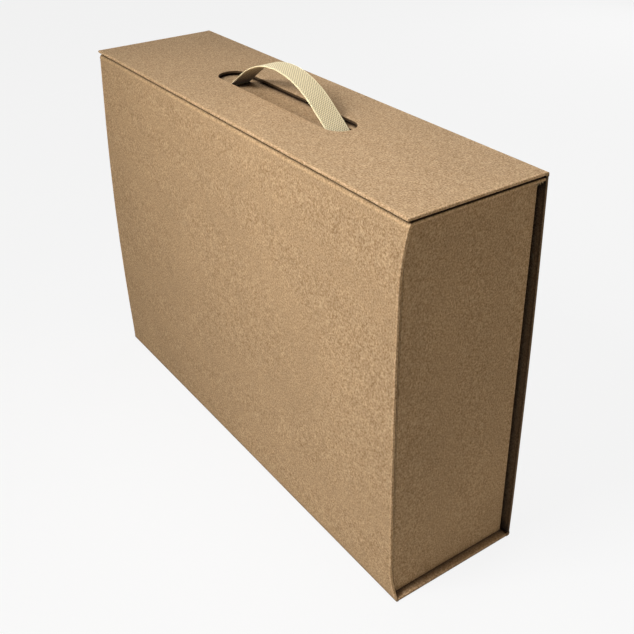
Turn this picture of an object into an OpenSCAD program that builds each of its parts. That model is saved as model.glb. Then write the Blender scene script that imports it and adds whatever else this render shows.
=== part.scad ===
// Magnetic gift box of paper-wrapped board, standing on its spine like a small case.
// +X runs along the big face, -Y is the big front face, +Z is up.
// The origin is on the ground under the middle of the box.
// The lid is the back panel. It carries the closing flap, which lies over the top wall
// of the tray and lets the woven handle through its slot.

/* [Box] */
// Width of the spine, lid, flap and top wall along the big face
case_w = 350; // [300:1:420]
// Depth of the standing box, from the flap's front edge to the back
case_d = 93; // [75:1:140]
// Height of the standing box without its handle
case_h = 250; // [180:1:320]
// Thickness of a board with the paper round it
board_t = 1.8; // [1.6:0.1:3]
// Radius on the paper-wrapped free edges of a board
edge_r = 0.6; // [0.3:0.1:0.8]
// How far the case stands past the tray's left end
reveal_left = 0.7; // [0.5:0.1:8]
// How far the case stands past the tray's right end
reveal_right = 6.3; // [0.5:0.1:8]
// How far the flap's front edge stands past the front face
flap_overhang = 0.6; // [0.2:0.1:2]

/* [Folds] */
// Radius of a soft paper corner beyond the board's thickness
fold_ease = 0.4; // [0.3:0.1:1.5]
// Thickness of the folded paper
fold_t = 0.6; // [0.4:0.1:1]
// Bare paper left on each side of a fold that opens
hinge_gap = 0.4; // [0.3:0.1:1.5]
// Width of the paper crease between the front panel and an end wall
crease_w = 0.8; // [0.5:0.1:1.5]
// Depth of that crease below the outside of the end wall
crease_depth = 0.5; // [0.2:0.1:0.6]
// Height over which the front panel widens to the top wall
flare_top = 40; // [15:1:60]
// Height over which the front panel widens to the spine
flare_bottom = 18; // [10:1:40]

/* [Seats] */
// Gap between the closed flap and the top wall
flap_gap = 0.6; // [0.3:0.1:1.5]
// Gap between the tray's loose edges
seat_gap = 0.3; // [0.2:0.1:0.8]
// Gap between the end walls' back edges and the closed lid
lid_gap = 1.5; // [0.5:0.1:3]

/* [Handle] */
// Width of the woven webbing
web_w = 15; // [10:0.5:20]
// Thickness of the woven webbing
web_t = 1; // [0.8:0.1:2]
// Height of the arch above the closed flap
web_rise = 21.6; // [16:0.1:30]
// Half the arch's span where it passes the flap's upper face
web_half_span = 51.6; // [44:0.1:70]
// Angle of the webbing's straight flanks above the level
web_angle = 36; // [34:0.5:45]
// How far the middle of the arch stands to the right of the middle of the box
web_shift = 1.4; // [0:0.1:5]
// Radius of the bend below the top wall
web_bend_r = 2; // [1.2:0.1:4]
// Length of the glued tail inside the tray
web_tail = 30; // [20:1:45]
// Room between the webbing and the edges of its slit
slit_clear = 0.4; // [0.3:0.1:1]
// Room between the webbing and the flap's slot, at each edge
slot_side_clear = 2.8; // [1.5:0.1:6]
// Room between the webbing's feet and the ends of the flap's slot
slot_end_clear = 11.5; // [8:0.5:25]
// How far the flap's slot stands to the left of the middle of the box
slot_shift_x = 3.4; // [0:0.1:5]
// How far the flap's slot stands back from the webbing's middle line
slot_shift_y = 1.5; // [0:0.1:2]
// Thickness of the kraft patch over a tail
patch_t = 0.4; // [0.3:0.1:1]
// Rim of the patch round the tail
patch_rim = 5; // [3:1:10]

/* [Magnets] */
// Diameter of a disc magnet
magnet_d = 12; // [8:1:20]
// Thickness of a disc magnet
magnet_t = 1; // [0.8:0.1:1.2]
// Room round a magnet in its pocket
magnet_clear = 0.1; // [0.05:0.05:0.2]
// Distance of the magnets from the middle of the box
magnet_reach = 115; // [90:1:130]
// Distance of the magnets from the flap's front edge
magnet_inset = 16; // [12:1:24]

/* [Corner tabs] */
// Length of a glued tab from its end wall
tab_len = 30; // [20:1:40]
// Thickness of a glued tab
tab_t = 1.2; // [0.8:0.1:2]
// Slope cut from a tab's corners
tab_slope = 8; // [4:1:14]
// Distance of a tab from the front panel and the lid
tab_margin = 5; // [3:1:10]
// Thickness of the adhesive tape
tape_t = 0.3; // [0.2:0.1:0.5]
// Width of the adhesive tape along a tab's length
tape_w = 18; // [10:1:24]

/* [Hidden] */

KRAFT = [0.66, 0.53, 0.38];
KRAFT_DARK = [0.52, 0.40, 0.27];
WEBBING = [0.86, 0.79, 0.61];
STEEL = [0.75, 0.76, 0.78];
TAPE = [0.93, 0.92, 0.86];

RIGHT = 1;
LEFT = -1;
// Cutters reach this far past the surface that they cut
OVER = 1;
ARC_STEPS = 24;
BEND_STEPS = 6;
FLARE_STEPS = 8;
ROUND_FN = 48;

half_w = case_w / 2;
fold_r = board_t + fold_ease;
front_y = -case_d / 2 + flap_overhang;
back_y = case_d / 2;
lid_inner_y = back_y - board_t;
wall_top = case_h - board_t - flap_gap;
wall_under = wall_top - board_t;
end_wall_front = front_y + board_t + crease_w;
end_wall_back = lid_inner_y - lid_gap;
end_wall_foot = board_t + seat_gap;
end_wall_head = wall_under - seat_gap;
top_wall_back = lid_inner_y - seat_gap;
magnet_y = -case_d / 2 + magnet_inset;

// Outer face of the tray's end on one side, as a distance from the middle
function tray_end(side) = half_w - (side > 0 ? reveal_right : reveal_left);
function reveal(side) = half_w - tray_end(side);

// The webbing's middle line: a crest arc, a straight flank, a bend and a level tail.
// Each point is [x, z, slope] on the right half, from the crest outward.
crest_r = (web_half_span * tan(web_angle) - web_rise)
    / (tan(web_angle) * sin(web_angle) - (1 - cos(web_angle))) - web_t / 2;
crest_z = case_h + web_rise - web_t / 2;
tail_z = wall_under - web_t / 2;
flank_x = crest_r * sin(web_angle);
flank_z = crest_z - crest_r * (1 - cos(web_angle));
bend_z = tail_z + web_bend_r * (1 - cos(web_angle));
bend_x = flank_x + (flank_z - bend_z) / tan(web_angle);
tail_x = bend_x + web_bend_r * sin(web_angle);

function crest_point(a) = [crest_r * sin(a), crest_z - crest_r * (1 - cos(a)), -a];
function bend_point(a) = [
    tail_x - web_bend_r * sin(a),
    tail_z + web_bend_r * (1 - cos(a)),
    -a
];
function offset_point(p, d) = [p[0] - d * sin(p[2]), p[1] + d * cos(p[2])];
function mirrored(p) = [-p[0], p[1], -p[2]];

half_path = concat(
    [for (i = [1:ARC_STEPS]) crest_point(web_angle * i / ARC_STEPS)],
    [for (i = [0:BEND_STEPS]) bend_point(web_angle * (1 - i / BEND_STEPS))],
    [[tail_x + web_tail, tail_z, 0]]
);
web_path = concat(
    [for (i = [len(half_path) - 1:-1:0]) mirrored(half_path[i])],
    [crest_point(0)],
    half_path
);

// Where the webbing passes the top wall and the flap
slit_inner = bend_x - (wall_top - bend_z) / tan(web_angle)
    - web_t / 2 / sin(web_angle) - slit_clear;
slit_outer = tail_x + slit_clear;
slot_w = web_w + 2 * slot_side_clear;
slot_end = slit_outer + slot_end_clear;

// Level rectangle with rounded corners, from its lower left corner
module rounded_rect(w, h, r) {
    translate([r, 0]) square([w - 2 * r, h]);
    translate([0, r]) square([w, h - 2 * r]);
    for (x = [r, w - r], y = [r, h - r]) translate([x, y]) circle(r, $fn = ROUND_FN);
}

// Board extruded along X between x0 and x1, rounded on its long edges
module board_x(x0, x1, y0, y1, z0) {
    translate([x0, 0, 0])
        rotate([90, 0, 90])
            linear_extrude(x1 - x0)
                translate([y0, z0]) rounded_rect(y1 - y0, board_t, edge_r);
}

// Level board extruded along Y, rounded on its two ends
module board_y(x0, x1, y0, y1, z0) {
    translate([0, y1, 0])
        rotate([90, 0, 0])
            linear_extrude(y1 - y0)
                translate([x0, z0]) rounded_rect(x1 - x0, board_t, edge_r);
}

// Quarter of a paper tube round [0, 0], with a flat tongue at each end.
// The outer corner points to the lower left.
module fold_section(tongue) {
    difference() {
        circle(fold_r, $fn = ROUND_FN);
        circle(fold_r - fold_t, $fn = ROUND_FN);
        translate([0, -fold_r - OVER]) square([fold_r + OVER, 2 * (fold_r + OVER)]);
        translate([-fold_r - OVER, 0]) square([2 * (fold_r + OVER), fold_r + OVER]);
    }
    if (tongue > 0) {
        translate([-fold_r, 0]) square([fold_t, tongue]);
        translate([0, -fold_r]) square([tongue, fold_t]);
    }
}

// Paper corner along X at the pivot [y, z], its section turned by the given angle
module fold_x(w, y, z, turn, tongue = 0) {
    translate([-w / 2, y, z])
        rotate([90, 0, 90])
            linear_extrude(w) rotate(turn) fold_section(tongue);
}

// Slot with half-round ends, cut down through the flap
module handle_slot() {
    slot_r = slot_w / 2;
    translate([-slot_shift_x, slot_shift_y, case_h - board_t - OVER]) {
        for (side = [LEFT, RIGHT])
            translate([side * (slot_end - slot_r), 0, 0])
                cylinder(h = board_t + 2 * OVER, r = slot_r, $fn = 2 * ROUND_FN);
        translate([-(slot_end - slot_r), -slot_r, 0])
            cube([2 * (slot_end - slot_r), slot_w, board_t + 2 * OVER]);
    }
}

module disc_at(side, z_mid, d, t) {
    translate([side * magnet_reach, magnet_y, z_mid - t / 2])
        cylinder(h = t, d = d, $fn = ROUND_FN);
}

// Closed pockets for the pair of magnets inside one board
module magnet_pockets(z_mid) {
    for (side = [LEFT, RIGHT])
        disc_at(side, z_mid, magnet_d + 2 * magnet_clear, magnet_t + 2 * magnet_clear);
}

// Outline of the front panel on one side, from its foot up. It is as wide as the tray
// and widens to the full case at the spine and at the top wall.
function side_outline(side, foot, head) = concat(
    [for (i = [FLARE_STEPS:-1:0])
        let (s = i / FLARE_STEPS)
        [side * (tray_end(side) + reveal(side) * s * s), foot + flare_bottom * (1 - s)]],
    [for (i = [0:FLARE_STEPS])
        let (s = i / FLARE_STEPS)
        [side * (tray_end(side) + reveal(side) * s * s), head - flare_top * (1 - s)]]
);

function reversed(list) = [for (i = [len(list) - 1:-1:0]) list[i]];

module base_panel() {
    foot = fold_r;
    head = wall_top - fold_r;
    color(KRAFT)
        translate([0, front_y + board_t, 0])
            rotate([90, 0, 0])
                linear_extrude(board_t)
                    polygon(concat(
                        side_outline(RIGHT, foot, head),
                        reversed(side_outline(LEFT, foot, head))
                    ));
}

module spine_panel() {
    color(KRAFT)
        board_y(-half_w, half_w, front_y + fold_r, back_y - fold_r - hinge_gap, 0);
}

module lid_panel() {
    z0 = fold_r + hinge_gap;
    color(KRAFT)
        translate([-half_w, lid_inner_y, z0])
            linear_extrude(case_h - 2 * z0) rounded_rect(case_w, board_t, edge_r);
}

module flap_panel() {
    y0 = -case_d / 2;
    y1 = back_y - fold_r - hinge_gap;
    z0 = case_h - board_t;
    color(KRAFT)
        difference() {
            intersection() {
                board_x(-half_w, half_w, y0, y1, z0);
                board_y(-half_w, half_w, y0, y1, z0);
            }
            handle_slot();
            magnet_pockets(z0 + board_t / 2);
        }
}

module top_wall() {
    color(KRAFT)
        difference() {
            board_x(-half_w, half_w, front_y + fold_r, top_wall_back, wall_under);
            for (side = [LEFT, RIGHT])
                translate([
                    web_shift + (side > 0 ? slit_inner : -slit_outer),
                    -web_w / 2 - slit_clear,
                    wall_under - OVER
                ])
                    cube([slit_outer - slit_inner, web_w + 2 * slit_clear, board_t + 2 * OVER]);
            magnet_pockets(wall_under + board_t / 2);
        }
}

module end_wall(side) {
    x0 = side > 0 ? tray_end(side) - board_t : -tray_end(side);
    color(KRAFT)
        translate([x0, end_wall_front, end_wall_foot])
            linear_extrude(end_wall_head - end_wall_foot)
                rounded_rect(board_t, end_wall_back - end_wall_front, edge_r);
}

// Paper crease between the back of the front panel's edge and an end wall
module end_fold(side) {
    x_outer = tray_end(side) - crease_depth;
    color(KRAFT)
        translate([
            side > 0 ? x_outer - fold_t : -x_outer,
            front_y + board_t,
            end_wall_foot
        ])
            cube([fold_t, crease_w, end_wall_head - end_wall_foot]);
}

module base_spine_fold() {
    color(KRAFT) fold_x(case_w, front_y + fold_r, fold_r, 0);
}

module base_top_fold() {
    color(KRAFT) fold_x(case_w, front_y + fold_r, wall_top - fold_r, -90);
}

module lid_fold() {
    color(KRAFT) fold_x(case_w, back_y - fold_r, fold_r, 90, hinge_gap);
}

module flap_fold() {
    color(KRAFT) fold_x(case_w, back_y - fold_r, case_h - fold_r, 180, hinge_gap);
}

// Glued tab of an end wall, lying flat along the inside of the top wall or the spine
module corner_tab(side, z0) {
    root_x = tray_end(side) - board_t;
    y0 = front_y + board_t + tab_margin;
    y1 = end_wall_back - tab_margin;
    color(KRAFT_DARK)
        translate([0, 0, z0])
            linear_extrude(tab_t)
                polygon([
                    [side * root_x, y0],
                    [side * (root_x - tab_len), y0 + tab_slope],
                    [side * (root_x - tab_len), y1 - tab_slope],
                    [side * root_x, y1]
                ]);
}

tab_top_z = wall_under - tape_t - tab_t;
tab_bottom_z = board_t + tape_t;

// Strips of adhesive tape between the four tabs and the boards that hold them
module tab_tapes() {
    y0 = front_y + board_t + tab_margin + tab_slope;
    y1 = end_wall_back - tab_margin - tab_slope;
    margin = (tab_len - tape_w) / 2;
    color(TAPE)
        for (side = [LEFT, RIGHT], z0 = [board_t, wall_under - tape_t]) {
            inner_x = tray_end(side) - board_t - tab_len + margin;
            translate([side > 0 ? inner_x : -inner_x - tape_w, y0, z0])
                cube([tape_w, y1 - y0, tape_t]);
        }
}

module flap_magnet(side) {
    color(STEEL) disc_at(side, case_h - board_t / 2, magnet_d, magnet_t);
}

module wall_magnet(side) {
    color(STEEL) disc_at(side, wall_under + board_t / 2, magnet_d, magnet_t);
}

// Flat woven webbing, bent along its middle line
module webbing_handle() {
    upper = [for (p = web_path) offset_point(p, web_t / 2)];
    lower = [for (p = web_path) offset_point(p, -web_t / 2)];
    color(WEBBING)
        translate([web_shift, web_w / 2, 0])
            rotate([90, 0, 0])
                linear_extrude(web_w) polygon(concat(upper, reversed(lower)));
}

// Kraft patch that glues a tail of the webbing to the inside of the top wall
module handle_patch(side) {
    x0 = slit_outer;
    x1 = tail_x + web_tail + patch_rim;
    outer_y = web_w / 2 + patch_rim;
    inner_y = web_w / 2;
    color(KRAFT_DARK)
        difference() {
            translate([
                web_shift + (side > 0 ? x0 : -x1),
                -outer_y,
                wall_under - web_t - patch_t
            ])
                cube([x1 - x0, 2 * outer_y, web_t + patch_t]);
            translate([
                web_shift + (side > 0 ? x0 - OVER : -(x1 - patch_rim)),
                -inner_y,
                wall_under - web_t
            ])
                cube([x1 - patch_rim - x0 + OVER, web_w, web_t + OVER]);
        }
}

base_panel();
spine_panel();
lid_panel();
flap_panel();
top_wall();
end_wall(LEFT);  // end_wall_left
end_wall(RIGHT);  // end_wall_right
base_spine_fold();
base_top_fold();
end_fold(LEFT);  // end_fold_left
end_fold(RIGHT);  // end_fold_right
lid_fold();
flap_fold();
corner_tab(LEFT, tab_top_z);  // tab_left_top
corner_tab(LEFT, tab_bottom_z);  // tab_left_bottom
corner_tab(RIGHT, tab_top_z);  // tab_right_top
corner_tab(RIGHT, tab_bottom_z);  // tab_right_bottom
tab_tapes();
flap_magnet(LEFT);  // flap_magnet_left
flap_magnet(RIGHT);  // flap_magnet_right
wall_magnet(LEFT);  // wall_magnet_left
wall_magnet(RIGHT);  // wall_magnet_right
webbing_handle();
handle_patch(LEFT);  // handle_patch_left
handle_patch(RIGHT);  // handle_patch_right
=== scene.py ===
"""Kraft magnetic gift box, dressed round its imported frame.

The box stands on its spine. Its tray, lid and flap are grey boards wrapped in one speckled kraft
paper, and a woven cotton handle comes up through the slot in the flap. All sizes are in metres,
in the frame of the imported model.
"""

import logging
import math
from collections.abc import Callable, Mapping, Sequence
from dataclasses import dataclass, field
from enum import Enum
from typing import Any

import bmesh
import bpy
import numpy as np
from mathutils import Matrix, Vector


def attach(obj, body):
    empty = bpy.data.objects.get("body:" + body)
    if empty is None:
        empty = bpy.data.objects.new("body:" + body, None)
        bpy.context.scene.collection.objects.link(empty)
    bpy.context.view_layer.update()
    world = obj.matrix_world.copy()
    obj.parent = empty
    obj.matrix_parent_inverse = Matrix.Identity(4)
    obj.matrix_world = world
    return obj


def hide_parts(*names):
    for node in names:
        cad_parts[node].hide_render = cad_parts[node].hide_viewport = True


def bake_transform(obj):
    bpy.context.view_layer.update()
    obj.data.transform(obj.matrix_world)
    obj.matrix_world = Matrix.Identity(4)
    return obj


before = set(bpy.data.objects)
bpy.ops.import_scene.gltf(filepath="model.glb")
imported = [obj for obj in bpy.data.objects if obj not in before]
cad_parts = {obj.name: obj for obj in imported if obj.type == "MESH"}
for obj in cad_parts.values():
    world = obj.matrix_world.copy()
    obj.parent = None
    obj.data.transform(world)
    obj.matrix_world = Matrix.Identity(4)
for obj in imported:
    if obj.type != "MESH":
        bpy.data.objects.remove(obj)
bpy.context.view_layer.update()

LOG = logging.getLogger("gift_box")
MM = 0.001
PHOTO_PIXELS = 634
WHITE = (1.0, 1.0, 1.0, 1.0)
SHADE_SAMPLES = 6

Array = np.ndarray
Pair = tuple[float, float]
Point = tuple[float, float, float]
Places = tuple[Array, Array, Array]
Place = Callable[[Array, Array, Array], Places]
Socket = bpy.types.NodeSocket
Inputs = Mapping[str | int, Any]


class Side(Enum):
    """An end of the box along its length."""

    LEFT = -1
    RIGHT = 1


def linear(hex_colour: str) -> tuple[float, float, float, float]:
    """Turns an sRGB hex colour into linear RGBA.

    Args:
        hex_colour: Six hex digits, without a leading sign.

    Returns:
        Linear red, green and blue, and an alpha of 1.
    """
    channels = [int(hex_colour[i : i + 2], 16) / 255 for i in (0, 2, 4)]
    curved = [c / 12.92 if c <= 0.04045 else ((c + 0.055) / 1.055) ** 2.4 for c in channels]
    return (curved[0], curved[1], curved[2], 1.0)


def add_node(
    tree: bpy.types.NodeTree, kind: str, inputs: Inputs | None = None, **settings: Any
) -> bpy.types.Node:
    """Adds a shader node with its settings and its inputs.

    Args:
        tree: The node tree that takes the node.
        kind: Blender's name of the node type, without its leading "ShaderNode".
        inputs: What each input socket gets: a fixed value, or the output socket that feeds it.
        settings: Properties of the node itself.

    Returns:
        The new node.
    """
    made = tree.nodes.new(f"ShaderNode{kind}")
    for name, value in settings.items():
        setattr(made, name, value)
    for socket, given in (inputs or {}).items():
        if isinstance(given, Socket):
            tree.links.new(given, made.inputs[socket])
        else:
            made.inputs[socket].default_value = given
    return made


def seen_share(tree: bpy.types.NodeTree) -> Socket:
    """1 where the camera or a reflection looks, and 0 for light on its way round the scene."""
    path = add_node(tree, "LightPath")
    rays = {0: path.outputs["Is Camera Ray"], 1: path.outputs["Is Glossy Ray"]}
    return add_node(tree, "Math", rays, operation="MAXIMUM").outputs["Value"]


class Recipe:
    """A material in the making: its node tree, and the nodes that several finishes share."""

    def __init__(self, name: str) -> None:
        """Starts an empty node material."""
        self.material = bpy.data.materials.new(name)
        self.material.use_nodes = True
        self.tree = self.material.node_tree
        self.tree.nodes.clear()

    def add(self, kind: str, output: str, inputs: Inputs | None = None, **settings: Any) -> Socket:
        """Adds a node and returns the output socket with the given name."""
        return add_node(self.tree, kind, inputs, **settings).outputs[output]

    def place(self) -> Socket:
        """Adds the places on the object, in metres."""
        return self.add("TexCoord", "Object")

    def share(self, name: str) -> Socket:
        """Adds a share that is stored in the mesh."""
        return self.add("Attribute", "Fac", attribute_name=name)

    def noise(self, place: Socket, size: float, **grain: float) -> Socket:
        """Adds soft noise with patches of about the given size."""
        return self.add("TexNoise", "Fac", {"Vector": place, "Scale": 1 / size, **grain})

    def number(self, operation: str, *terms: Any, clamp: bool = False) -> Socket:
        """Adds arithmetic on a few numbers."""
        return self.add("Math", "Value", dict(enumerate(terms)), operation=operation, use_clamp=clamp)

    def remap(self, value: Socket, source: Pair = (0, 1), to: Pair = (0, 1)) -> Socket:
        """Stretches one range of a value to another, and clips what lies outside it."""
        ends = {"From Min": source[0], "From Max": source[1], "To Min": to[0], "To Max": to[1]}
        return self.add("MapRange", "Result", {"Value": value, **ends})

    def around(self, value: Socket, middle: float, swing: float, source: Pair = (0, 1)) -> Socket:
        """Turns a value into one that swings about a middle."""
        return self.remap(value, source, (middle - swing, middle + swing))

    def scaled(self, colour: Socket, gain: Socket) -> Socket:
        """Makes a colour brighter or darker."""
        return self.add("VectorMath", "Vector", {"Vector": colour, "Scale": gain}, operation="SCALE")

    def mixed(self, share: Any, under: Any, over: Any, blend: str = "MIX") -> Socket:
        """Lays one colour over another by a share."""
        inputs = {"Factor": share, "A": under, "B": over}
        return self.add("Mix", "Result", inputs, data_type="RGBA", blend_type=blend)

    def shaded(self, colour: Socket, painted_shade_tint: str, depth: float, reach: Pair) -> Socket:
        """Paints shade into a colour in creases and hollows, where other surfaces stand close.

        Args:
            colour: The colour in the open.
            painted_shade_tint: The hex colour of the painted shade, multiplied in where the point is
                closed in.
            depth: How near another surface has to be to close it in.
            reach: The openness at which the shade is full, and that at which it is gone.

        Returns:
            The shaded colour.
        """
        inputs = {"Distance": depth, "Color": WHITE}
        openness = self.add("AmbientOcclusion", "AO", inputs, samples=SHADE_SAMPLES)
        fully_shaded = self.mixed(1.0, colour, linear(painted_shade_tint), "MULTIPLY")
        return self.mixed(self.remap(openness, reach), fully_shaded, colour)

    def finish(self, relief: Inputs, surface: Inputs) -> bpy.types.Material:
        """Closes the material with a principled shader over a bump.

        Args:
            relief: The bump's inputs: its height, strength and distance.
            surface: The shader's inputs: its colour, roughness and shine.

        Returns:
            The finished material.
        """
        bump = self.add("Bump", "Normal", relief)
        shader = self.add("BsdfPrincipled", "BSDF", {**surface, "Normal": bump})
        add_node(self.tree, "OutputMaterial", {"Surface": shader})
        return self.material


@dataclass(frozen=True)
class KraftPaper:
    """Recycled kraft paper, machine finished: short dark and pale fibres in a matt brown ground.

    A patch is given as its size and how far its brightness swings. A rub makes a turned edge
    paler, partly as rubbed paper and partly as a painted highlight; a negative one paints shade.
    """

    name: str
    tones: tuple[str, str, str] = ("8c6d49", "b59672", "d4b894")
    tone_places: tuple[float, float, float] = (0.29, 0.5, 0.73)
    rub_and_edge_light: float = 0.2
    # Colour of the cut board, darkened as painted shade for the slot's walls.
    core_and_shade: str = "3e2f20"
    # Painted shade in creases and gaps: its colour, the distance that closes a point in, and the
    # openness over which it fades.
    painted_shade: str = "3a2a1a"
    painted_shade_depth: float = 5.0 * MM
    painted_shade_range: Pair = (0.3, 0.9)
    fibre_length: float = 1.1 * MM
    fibre_width: float = 0.9 * MM
    patches: tuple[Pair, ...] = ((5.0 * MM, 0.06), (70 * MM, 0.05))
    patch_range: Pair = (0.3, 0.7)
    roughness: float = 0.86
    relief: float = 0.08 * MM

    def build(self) -> bpy.types.Material:
        """Builds the paper's material from its fibre sizes."""
        recipe = Recipe(self.name)
        place = recipe.place()
        # Fibres lie a little along the height of the box, so the noise is stretched along Z.
        scale = (1 / self.fibre_width, 1 / self.fibre_width, 1 / self.fibre_length)
        stretched = recipe.add("Mapping", "Vector", {"Vector": place, "Scale": scale})
        fibre = recipe.noise(stretched, 1.0, Detail=2.0, Roughness=0.6, Distortion=0.2)
        # Small blotches and slow clouds keep the sheet from looking printed.
        levels = []
        for size, swing in self.patches:
            patch = recipe.noise(place, size, Detail=3.0, Roughness=0.55)
            levels.append(recipe.around(patch, 1, swing, self.patch_range))
        # Dark fibres, ground and pale fibres: the noise is cut into three tones.
        toned = add_node(recipe.tree, "ValToRGB", {"Fac": fibre})
        elements = toned.color_ramp.elements
        elements.new(self.tone_places[1])
        for element, position, tone in zip(elements, self.tone_places, self.tones):
            element.position = position
            element.color = linear(tone)
        ground = recipe.scaled(toned.outputs["Color"], recipe.number("MULTIPLY", *levels))
        # Turned edges are paler: partly stretched, rubbed paper and partly a painted highlight.
        # A negative rub paints shade on them instead.
        gain = recipe.number("MULTIPLY_ADD", recipe.share("rim"), self.rub_and_edge_light, 1.0)
        rim_toned = recipe.scaled(ground, gain)
        # Bare board shows where a cut goes through the paper, in a colour darkened as painted shade.
        bare_and_shade = recipe.mixed(recipe.share("cut"), rim_toned, linear(self.core_and_shade))
        # Painted shade: creases and gaps are darkened where other surfaces stand close.
        colour = recipe.shaded(bare_and_shade, self.painted_shade, self.painted_shade_depth, self.painted_shade_range)
        rough = recipe.around(fibre, self.roughness, 0.06)
        return recipe.finish(
            {"Height": fibre, "Strength": 0.7, "Distance": self.relief},
            {"Base Color": colour, "Roughness": rough, "IOR": 1.45, "Specular IOR Level": 0.25},
        )


@dataclass(frozen=True)
class WovenCotton:
    """Cotton webbing in a diamond twill: plump cream yarns, with painted shade in the gaps between them,
    and a soft sheen.
    """

    name: str = "woven_cotton_webbing"
    yarn: str = "fff0c4"
    gap_shade: str = "664010"
    shade: str = "4a3012"
    shade_depth: float = 25 * MM
    shade_range: Pair = (0.15, 0.7)
    hair: float = 0.5 * MM
    hair_share: float = 0.35
    bleach: float = 0.03
    relief: float = 0.06 * MM

    def build(self) -> bpy.types.Material:
        """Builds the webbing's material, which reads the weave from the mesh."""
        recipe = Recipe(self.name)
        hairs = recipe.noise(recipe.place(), self.hair, Detail=2.0)
        # Loose hairs make the yarns a little paler here and there.
        weave = recipe.share("weave")
        haired = recipe.number("MULTIPLY_ADD", hairs, self.hair_share, weave, clamp=True)
        pale = recipe.number("ADD", haired, self.bleach, clamp=True)
        # Painted shade: the gaps between yarns take a dark tan, where the weave's hollows would be
        # shaded.
        yarns = recipe.mixed(pale, linear(self.gap_shade), linear(self.yarn))
        # The hollow below the handle gathers shade.
        colour = recipe.shaded(yarns, self.shade, self.shade_depth, self.shade_range)
        surface = {"Base Color": colour, "Roughness": 0.8, "IOR": 1.5, "Specular IOR Level": 0.3}
        return recipe.finish(
            {"Height": hairs, "Strength": 0.5, "Distance": self.relief},
            {**surface, "Sheen Weight": 0.15, "Sheen Roughness": 0.5},
        )


@dataclass(frozen=True)
class PlainStock:
    """A plain sheet or plated metal: one tone with a fine, even grain from how it was made."""

    name: str
    tone: str
    grain_tone: str
    grain: float
    roughness: float
    metallic: float = 0.0
    relief: float = 0.01 * MM

    def build(self) -> bpy.types.Material:
        """Builds the stock's material from its grain size."""
        recipe = Recipe(self.name)
        grain = recipe.noise(recipe.place(), self.grain, Detail=3.0)
        colour = recipe.mixed(grain, linear(self.tone), linear(self.grain_tone))
        rough = recipe.around(grain, self.roughness, 0.05)
        return recipe.finish(
            {"Height": grain, "Strength": 0.4, "Distance": self.relief},
            {"Base Color": colour, "Roughness": rough, "Metallic": self.metallic},
        )


@dataclass(frozen=True)
class StudioPaper:
    """Seamless white studio paper. It shows nearly white and keeps a soft shadow."""

    name: str = "white_studio_paper"
    shaded_tone: str = "505050"
    lit_tone: str = "a8a8a6"
    own_light: float = 0.87

    def build(self) -> bpy.types.Material:
        """Builds the floor's material."""
        recipe = Recipe(self.name)
        # The camera sees the paper by its own light. The box gets the light that it throws back.
        seen = seen_share(recipe.tree)
        tone = recipe.mixed(seen, linear(self.lit_tone), linear(self.shaded_tone))
        surface = {"Base Color": tone, "Roughness": 0.9, "Specular IOR Level": 0.0}
        paper = recipe.add("BsdfPrincipled", "BSDF", surface)
        strength = recipe.number("MULTIPLY", seen, self.own_light)
        glow = recipe.add("Emission", "Emission", {"Strength": strength})
        both = recipe.add("AddShader", "Shader", {0: paper, 1: glow})
        add_node(recipe.tree, "OutputMaterial", {"Surface": both})
        return recipe.material


class Finishes:
    """Every material of the box, built once."""

    def __init__(self) -> None:
        """Builds the materials."""
        # Outer wrap: the warm speckled brown of the whole box.
        self.wrap = KraftPaper("kraft_wrap_paper").build()
        # Crease paper: the same sheet at a fold, rubbed a little paler, partly as wear and partly as a
        # painted highlight.
        creased = ("92744f", "b89974", "d0b48e")
        self.crease = KraftPaper("kraft_crease_paper", creased, rub_and_edge_light=0.35).build()
        # Lid wrap: the same sheet with painted shade. Its turned edge is painted darker, and its ledge,
        # where the end wall stands close, is painted in deep shade.
        painted_ledge_shade = {"painted_shade": "1c120a", "painted_shade_depth": 12 * MM, "painted_shade_range": (0.5, 1.0)}
        self.lid_wrap = KraftPaper("kraft_lid_paper_painted_shade", rub_and_edge_light=-0.6, **painted_ledge_shade).build()
        # Cotton webbing: plump cream yarns that catch the light, with painted shade in the gaps between
        # them.
        self.webbing = WovenCotton().build()
        # Uncoated kraft card of the tabs and patches: darker and flatter than the wrap.
        self.card = PlainStock("uncoated_kraft_card", "a8875c", "8f7049", 1.2 * MM, 0.85).build()
        # Tissue tape: a milky, slightly waxy strip.
        self.tape = PlainStock("tissue_tape", "efebdd", "ddd7c2", 0.8 * MM, 0.45).build()
        # Nickel plate on the magnets: bright metal with fine tumbling marks.
        self.nickel = PlainStock("nickel_plate", "c9cacc", "b4b6b9", 0.4 * MM, 0.28, 1.0).build()
        # Torn kraft fibres: pale where the paper has split.
        self.torn = PlainStock("torn_kraft_fibre", "dcc9a6", "a98f68", 0.5 * MM, 0.9).build()
        # Studio paper: the nearly white ground below the box.
        self.floor = StudioPaper().build()


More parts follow.
